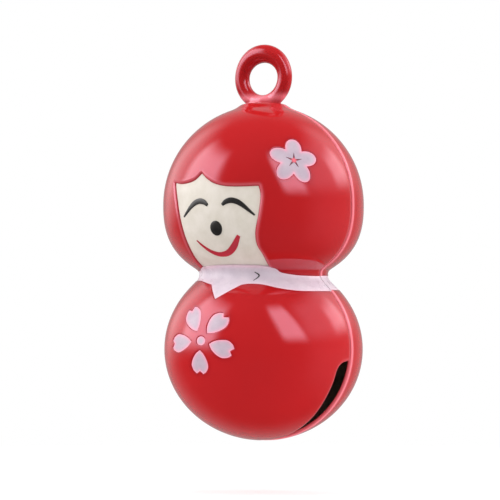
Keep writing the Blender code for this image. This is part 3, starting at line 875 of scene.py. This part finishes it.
def layDown(name, outline, where, top, bottom, thickness, voxel, soften, spread, crown=0.0,
            sheet=None, turn=0.0, length=1.0):
    # top and bottom are depths below the doll's surface; spread hides the fill's edge in the shell, and
    # crown raises its middle; a sheet that is already cut is copied, turned and made longer
    if sheet:
        piece = sheet.copy()
        piece.data = sheet.data.copy()
        piece.name = piece.data.name = name
        bpy.context.scene.collection.objects.link(piece)
    else:
        piece = cutOut(name, grown(outline, spread), thickness, voxel, soften)
    xyz = places(piece)
    inside = np.clip(insideDistance(xyz[:, :2], outline), 0, farOff)
    level = np.clip(xyz[:, 2] / thickness + 0.5, 0, 1)
    lift = crown * level * (1 - np.exp(-inside / edges["crownReach"]))
    depth = bottom + (top - bottom) * level - lift
    putPlaces(piece, ontoDoll(turned(xyz[:, :2], turn, length), depth, where))
    note(piece, "edge", np.exp(-inside / edges["tintReach"]))
    return piece


edges = {"crownReach": 0.12, "tintReach": 0.10}
fill = {"top": 0.035, "bottom": 0.16, "thickness": 0.3, "voxel": 0.045, "soften": 3, "spread": 0.10}
faceFill = {"top": 0.15, "bottom": 0.36, "thickness": 0.4, "voxel": 0.08, "soften": 3, "spread": 0.14}
mark = {"top": 0.115, "bottom": 0.18, "thickness": 0.14, "voxel": 0.03, "soften": 4, "spread": 0.0}

facePiece = layDown("faceEnamel", faceOutline, front, **faceFill)
finishPiece(facePiece, [cream], "bell", ["face_enamel"], 60)

noseX = faceDrawing["marksX"] + faceDrawing["nose"][0]
noseZ = headZ + faceDrawing["nose"][1]
noseWide, noseHigh = faceDrawing["noseSize"]
noseOutline = [(noseX + noseWide * x, noseZ + noseHigh * y) for x, y in around([1.0] * 32)]
marks = [
    ("leftEye", strokeOnFace("eye", 1), 0.02, black, "black_paint", "left_eye_enamel"),
    ("rightEye", strokeOnFace("eye", -1), 0.02, black, "black_paint", "right_eye_enamel"),
    ("mouth", strokeOnFace("mouth", 1), 0.02, crimson, "crimson_paint", "mouth_enamel"),
    ("nose", noseOutline, 0.05, black, "black_paint", "nose_enamel"),
]
for name, outline, crown, paint, slot, node in marks:
    piece = layDown(name, outline, front, crown=crown, **mark)
    finishPiece(piece, [paint], "bell", [node], 60)

plumPiece = layDown("hairFlower", plumOutline, hairFlowerPlace, **fill)
finishPiece(plumPiece, [blossom], "bell", ["hair_flower_enamel"], 60)
dotPiece = layDown("robeFlowerCentre", dotOutline, robeFlowerPlace, **fill)
finishPiece(dotPiece, [blossom], "bell", ["robe_flower_centre"], 60)
petalSheet = cutOut("petalSheet", grown(petalOutline, fill["spread"]), fill["thickness"], fill["voxel"],
                    fill["soften"])
for number, (turn, length) in enumerate(zip(petalTurns, petal["lengths"]), start=1):
    piece = layDown(f"robePetal{number}", petalOutline, robeFlowerPlace, sheet=petalSheet, turn=turn,
                    length=length, **fill)
    finishPiece(piece, [blossom], "bell", [f"robe_flower_petal_{number}"], 60)
bpy.data.objects.remove(petalSheet)
print("fills and marks laid")

# a small dark mark on the collar's front
crease = {
    "keys": [(1.80, 5.72), (2.14, 5.46), (1.84, 5.10)],
    "widths": [0.05, 0.10, 0.04],
    "lay": {"top": 0.005, "bottom": 0.06, "thickness": 0.1, "voxel": 0.018, "soften": 1, "spread": 0.0},
}
creaseOutline = raised(brushStroke(crease["keys"], crease["widths"]), ballZ)
creasePiece = layDown("collarCrease", creaseOutline, front, **crease["lay"])
finishPiece(creasePiece, [black], "bell", [], 60)

star = {
    "tip": 0.68,
    "waist": 0.15,
    "heart": 0.17,
    "heartSoftness": 1.6,
    "lay": {"top": 0.015, "bottom": 0.06, "thickness": 0.12, "voxel": 0.022, "soften": 2, "spread": 0.0},
}


def makeStar():
    outline = around([star["tip"], star["waist"]] * 5)
    piece = layDown("flowerStamens", outline, hairFlowerPlace, **star["lay"])
    fromMiddle = np.linalg.norm(flatOf(places(piece), hairFlowerPlace), axis=1)
    note(piece, "heart", np.clip(star["heartSoftness"] - fromMiddle / star["heart"], 0, 1))
    material, tree, shader = newMaterial("stamenPaint", Roughness=0.35)
    base = ramp(tree, noiseField(tree, 2000.0), [(0.4, (0.10, 0.012, 0.03)), (0.7, (0.20, 0.03, 0.06))])
    colour = blended(tree, kept(tree, "heart"), base, (0.80, 0.12, 0.17))
    tree.links.new(colour, shader.inputs["Base Color"])
    finishPiece(piece, [material], "bell", [], 60)


makeStar()


def makeCollar(name, side, node):
    # a band from rim to rim: the grid's X runs round the doll, and its Y from the lower to the upper edge
    freshStart()
    bpy.ops.mesh.primitive_grid_add(
        x_subdivisions=collar["columns"], y_subdivisions=collar["rows"], size=2,
    )
    piece = named(name)
    grid = places(piece)
    turn = grid[:, 0] * (math.pi / 2 - collar["rimTurn"])
    share = (grid[:, 1] + 1) / 2
    lower = np.interp(grid[:, 0], (-1, 1), collar["backLower"])
    upper = np.interp(grid[:, 0], (-1, 1), collar["backUpper"])
    if side < 0:
        lowerX, lowerZ = np.array(sorted(collarLowerLine)).T
        upperX, upperZ = np.array(sorted(collarUpperLine)).T
        # the drawn edges give a height for each X, and X depends on the height: a few rounds settle it
        for _ in range(12):
            lower = np.interp(dollRadius(ballZ + lower) * np.sin(turn), lowerX, lowerZ)
            upper = np.interp(dollRadius(ballZ + upper) * np.sin(turn), upperX, upperZ)
    hidden = collar["hidden"]
    z = ballZ + lower - hidden + (upper - lower + 2 * hidden) * share
    if side > 0:
        turn = math.pi - turn
    putPlaces(piece, onDoll(turn, z, collar["depth"]))
    height = z - ballZ
    inside = np.clip(np.minimum(height - lower, upper - height), 0, farOff)
    note(piece, "edge", np.exp(-inside / collar["tintReach"]) * collar["tint"])
    activate(piece)
    bpy.ops.object.mode_set(mode="EDIT")
    bpy.ops.mesh.select_all(action="SELECT")
    bpy.ops.mesh.normals_make_consistent(inside=False)
    bpy.ops.object.mode_set(mode="OBJECT")
    outward = sum(p.normal.y * p.center.y for p in list(piece.data.polygons)[::40])
    thick = piece.modifiers.new("thick", "SOLIDIFY")
    thick.thickness = collar["thickness"]
    thick.offset = -1 if outward > 0 else 1
    applyAll(piece)
    finishPiece(piece, [collarWhite], "bell", [node], 50)


makeCollar("collarFront", -1, "collar_enamel_front")
makeCollar("collarBack", 1, "collar_enamel_back")
print("collar made")


# ---- inside: the pellet, and the solder that stays as it is ----

pelletLow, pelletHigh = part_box("rattle_pellet")


def makePellet():
    middle = (pelletLow + pelletHigh) / 2 / mm
    radius = (pelletHigh.z - pelletLow.z) / 2 / mm
    freshStart()
    bpy.ops.mesh.primitive_uv_sphere_add(segments=72, ring_count=40, radius=radius, location=middle)
    piece = named("rattlePellet")
    bpy.ops.object.transform_apply(location=True, rotation=True, scale=True)
    bpy.ops.object.mode_set(mode="EDIT")
    bpy.ops.mesh.select_all(action="SELECT")
    bpy.ops.transform.vertex_random(offset=0.012, uniform=0.0, normal=1.0, seed=5)
    bpy.ops.mesh.vertices_smooth(factor=0.5, repeat=2)
    bpy.ops.object.mode_set(mode="OBJECT")
    finishPiece(piece, [steel], "pellet", ["rattle_pellet"])


makePellet()
for node in ("seam_solder_left", "seam_solder_right"):
    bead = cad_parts[node]
    bead.data.materials.clear()
    bead.data.materials.append(tin)
print("inside made")


# ---- camera, lights and floor ----

view = {
    "azimuth": 29.5,
    "elevation": -2.0,
    "distance": 0.190,
    "lens": 180.6,
    "aimHeight": (ballZ + 8.1) * mm,
    "rightOfMiddle": 1.023 * mm,
    "aboveMiddle": 0.606 * mm,
}


def directionOf(azimuth, elevation):
    a, e = math.radians(azimuth), math.radians(elevation)
    return Vector((math.sin(a) * math.cos(e), -math.cos(a) * math.cos(e), math.sin(e)))


def makeCamera():
    away = directionOf(view["azimuth"], view["elevation"])
    turn = (-away).to_track_quat("-Z", "Y")
    spot = Vector((0, 0, view["aimHeight"])) + away * view["distance"]
    aside = turn @ Vector((-view["rightOfMiddle"], -view["aboveMiddle"], 0))
    aim = Vector((0, 0, view["aimHeight"])) + aside
    bpy.ops.object.camera_add(location=spot, rotation=(aim - spot).to_track_quat("-Z", "Y").to_euler())
    camera = bpy.context.object
    camera.data.lens = view["lens"]
    camera.data.sensor_width = 36
    camera.data.clip_start = 0.005
    camera.data.clip_end = 20
    bpy.context.scene.camera = camera


def makeLamp(name, azimuth, elevation, glow):
    # a broad lamp that lights the doll without showing in its gloss
    distance, width, height = studio["lampDistance"], *studio["lampSize"]
    away = directionOf(view["azimuth"] + azimuth, elevation)
    spot = Vector((0, 0, view["aimHeight"])) + away * distance
    bpy.ops.object.light_add(type="AREA", location=spot)
    lamp = bpy.context.object
    lamp.name = name
    lamp.rotation_euler = away.to_track_quat("Z", "Y").to_euler()
    lamp.data.shape = "RECTANGLE"
    lamp.data.size = width
    lamp.data.size_y = height
    lamp.data.energy = glow * math.pi * width * height
    lamp.visible_glossy = False
    lamp.visible_camera = False


# turns are degrees round the doll from the camera, to its right; rises are degrees above the horizon
studio = {
    "base": (0.05, 0.10),
    "behind": 0.34,
    "patches": [
        {"turn": (-110, -59), "rise": (4, 50), "softTurn": 7, "softRise": 9, "glow": 3.0},
        {"turn": (-148, -58), "rise": (2, 46), "softTurn": 12, "softRise": 14, "glow": 1.2},
        {"turn": (17, 45), "rise": (13, 56), "softTurn": 5, "softRise": 8, "glow": 3.9, "lean": 0.4},
        {"turn": (96, 122), "rise": (16, 38), "softTurn": 6, "softRise": 7, "glow": 2.2},
        {"turn": (50, 140), "rise": (14, 54), "softTurn": 14, "softRise": 10, "glow": 0.9},
        {"turn": (58, 120), "rise": (-40, 10), "softTurn": 16, "softRise": 20, "glow": 0.2},
    ],
    "lamps": [
        {"name": "frontLamp", "azimuth": 0, "elevation": 15, "glow": 0.01},
        {"name": "leftLamp", "azimuth": -75, "elevation": 12, "glow": 0.20},
        {"name": "rightLamp", "azimuth": 84, "elevation": 8, "glow": 1.45},
        {"name": "topLamp", "azimuth": 10, "elevation": 84, "glow": 1.62},
    ],
    "lampDistance": 0.5,
    "lampSize": (0.8, 0.6),
    "backdrop": 1.0,
    "floorRadius": 0.3,
    "floorDrop": 0.004,
    "floorGrey": 0.72,
    "floorGlow": 0.25,
    "floorFadeFrom": 0.025,
    "floorFadeTo": 0.085,
}


def sums(tree, kind, first, second):
    node = tree.nodes.new("ShaderNodeMath")
    node.operation = kind
    for socket, value in zip(node.inputs, (first, second)):
        if isinstance(value, (int, float)):
            socket.default_value = value
        else:
            tree.links.new(value, socket)
    return node.outputs[0]


def softStep(tree, value, start, end):
    node = tree.nodes.new("ShaderNodeMapRange")
    node.interpolation_type = "SMOOTHSTEP"
    node.inputs["From Min"].default_value = start
    node.inputs["From Max"].default_value = end
    tree.links.new(value, node.inputs["Value"])
    return node.outputs["Result"]


def softBand(tree, value, ends, soft):
    low, high = ends
    rising = softStep(tree, value, low - soft, low + soft)
    falling = softStep(tree, value, high + soft, high - soft)
    return sums(tree, "MULTIPLY", rising, falling)


def alongAxis(tree, direction, axis):
    node = tree.nodes.new("ShaderNodeVectorMath")
    node.operation = "DOT_PRODUCT"
    node.inputs[1].default_value = axis
    tree.links.new(direction, node.inputs[0])
    return node.outputs["Value"]


def makeWorld():
    world = bpy.data.worlds.new("studio")
    bpy.context.scene.world = world
    world.use_nodes = True
    tree = world.node_tree
    tree.nodes.clear()
    where = tree.nodes.new("ShaderNodeTexCoord").outputs["Generated"]
    toFront = alongAxis(tree, where, directionOf(view["azimuth"], 0))
    toRight = alongAxis(tree, where, directionOf(view["azimuth"] + 90, 0))
    upward = alongAxis(tree, where, (0, 0, 1))
    turn = sums(tree, "MULTIPLY", sums(tree, "ARCTAN2", toRight, toFront), 180 / math.pi)
    rise = sums(tree, "MULTIPLY", sums(tree, "ARCSINE", upward, 0), 180 / math.pi)

    strength = ranged(tree, softStep(tree, upward, -0.6, 1.0), *studio["base"])
    behind = sums(tree, "MULTIPLY", softStep(tree, toFront, -0.25, -0.9), studio["behind"])
    strength = sums(tree, "ADD", strength, behind)
    for patch in studio["patches"]:
        # a leaning patch is further left where it is higher
        lean = sums(tree, "MULTIPLY", sums(tree, "SUBTRACT", rise, 30), patch.get("lean", 0))
        across = softBand(tree, sums(tree, "ADD", turn, lean), patch["turn"], patch["softTurn"])
        upDown = softBand(tree, rise, patch["rise"], patch["softRise"])
        glow = sums(tree, "MULTIPLY", sums(tree, "MULTIPLY", across, upDown), patch["glow"])
        strength = sums(tree, "ADD", strength, glow)

    light = tree.nodes.new("ShaderNodeBackground")
    light.inputs["Color"].default_value = (1, 0.98, 0.98, 1)
    tree.links.new(strength, light.inputs["Strength"])
    sheet = tree.nodes.new("ShaderNodeBackground")
    sheet.inputs["Color"].default_value = (1, 1, 1, 1)
    sheet.inputs["Strength"].default_value = studio["backdrop"]
    seen = tree.nodes.new("ShaderNodeLightPath")
    mix = tree.nodes.new("ShaderNodeMixShader")
    out = tree.nodes.new("ShaderNodeOutputWorld")
    tree.links.new(seen.outputs["Is Camera Ray"], mix.inputs["Fac"])
    tree.links.new(light.outputs[0], mix.inputs[1])
    tree.links.new(sheet.outputs[0], mix.inputs[2])
    tree.links.new(mix.outputs[0], out.inputs["Surface"])


def makeFloor():
    # a pale sheet just under the doll, which fades into the backdrop all round
    freshStart()
    bpy.ops.mesh.primitive_circle_add(
        vertices=128,
        radius=studio["floorRadius"],
        fill_type="NGON",
        location=(0, 0, bottomZ * mm - studio["floorDrop"]),
    )
    floor = named("floor")
    bpy.ops.object.transform_apply(location=True, rotation=True, scale=True)
    floor.visible_glossy = False
    material, tree, shader = newMaterial("paleFloor", Roughness=0.8)
    shader.inputs["Base Color"].default_value = (*[studio["floorGrey"]] * 3, 1)
    shader.inputs["Emission Color"].default_value = (1, 1, 1, 1)
    shader.inputs["Emission Strength"].default_value = studio["floorGlow"]
    where = tree.nodes.new("ShaderNodeTexCoord")
    flat = tree.nodes.new("ShaderNodeVectorMath")
    flat.operation = "MULTIPLY"
    flat.inputs[1].default_value = (1, 1, 0)
    far = tree.nodes.new("ShaderNodeVectorMath")
    far.operation = "LENGTH"
    tree.links.new(where.outputs["Object"], flat.inputs[0])
    tree.links.new(flat.outputs[0], far.inputs[0])
    fade = softStep(tree, far.outputs["Value"], studio["floorFadeTo"], studio["floorFadeFrom"])
    tree.links.new(fade, shader.inputs["Alpha"])
    floor.data.materials.append(material)


makeCamera()
bpy.context.scene.view_settings.view_transform = "Standard"
makeWorld()
for lamp in studio["lamps"]:
    makeLamp(**lamp)
makeFloor()
print("studio set")
